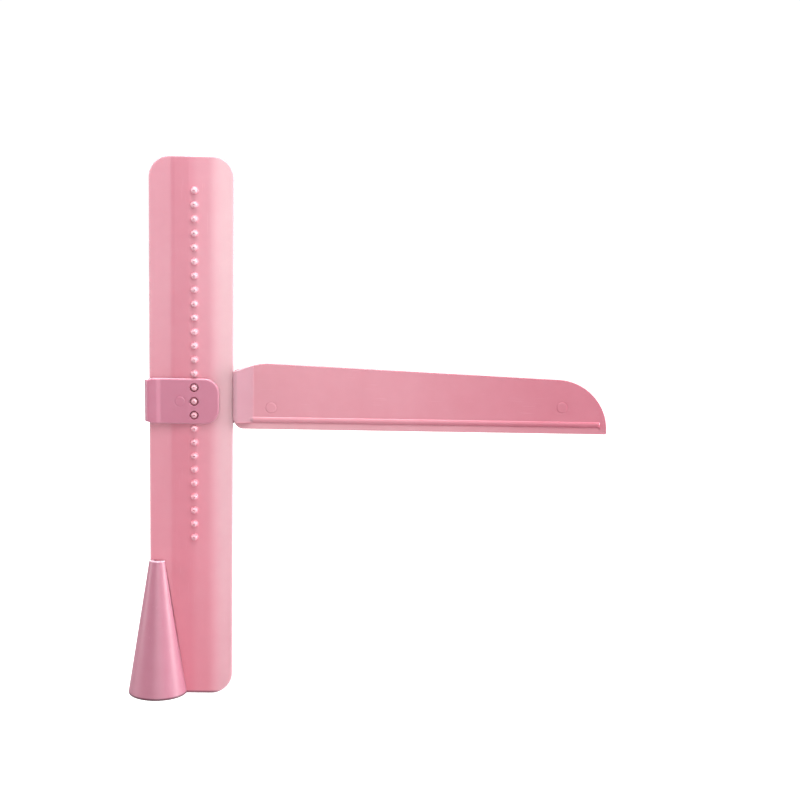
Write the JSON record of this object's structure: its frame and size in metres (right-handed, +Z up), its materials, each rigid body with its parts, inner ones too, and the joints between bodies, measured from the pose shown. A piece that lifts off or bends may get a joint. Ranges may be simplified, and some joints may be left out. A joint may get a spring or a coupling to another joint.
{
  "type": "adjustable cake scraper",
  "caption": "Upright scraping board with a row of pegs and a cone foot, and a long arm whose spring clip slides up the board and locks over the pegs.",
  "frame": {"origin": "middle of the board's bottom edge, on the surface that the tool stands on", "axes": "+Z up along the board, +X along the arm towards its tip, -Y the side with the pegs"},
  "size_m": [0.2427, 0.0302, 0.2745],
  "materials": {
    "board_plastic": "satin, slightly translucent",
    "cone_plastic": "satin, slightly translucent",
    "arm_plastic": "satin, slightly translucent",
    "tongue_plastic": "satin, slightly translucent"
  },
  "bodies": {
    "upright": {"upright_board": "board_plastic", "cone_foot": "cone_plastic"},
    "arm": {"arm_blade": "arm_plastic"},
    "tongue": {"clip_tongue": "tongue_plastic"}
  },
  "joints": [
    {"name": "arm_slide", "type": "slide", "parent": "upright", "child": "arm", "axis": [0, 0, 1], "range_m": [-0.063, 0.105]},
    {"name": "tongue_lift", "type": "hinge", "parent": "arm", "child": "tongue", "pos_m": [-0.0212, -0.00275, 0.1527], "axis": [0, 0, -1], "range_deg": [0, 6], "stiffness_Nm_per_rad": 0.6}
  ]
}
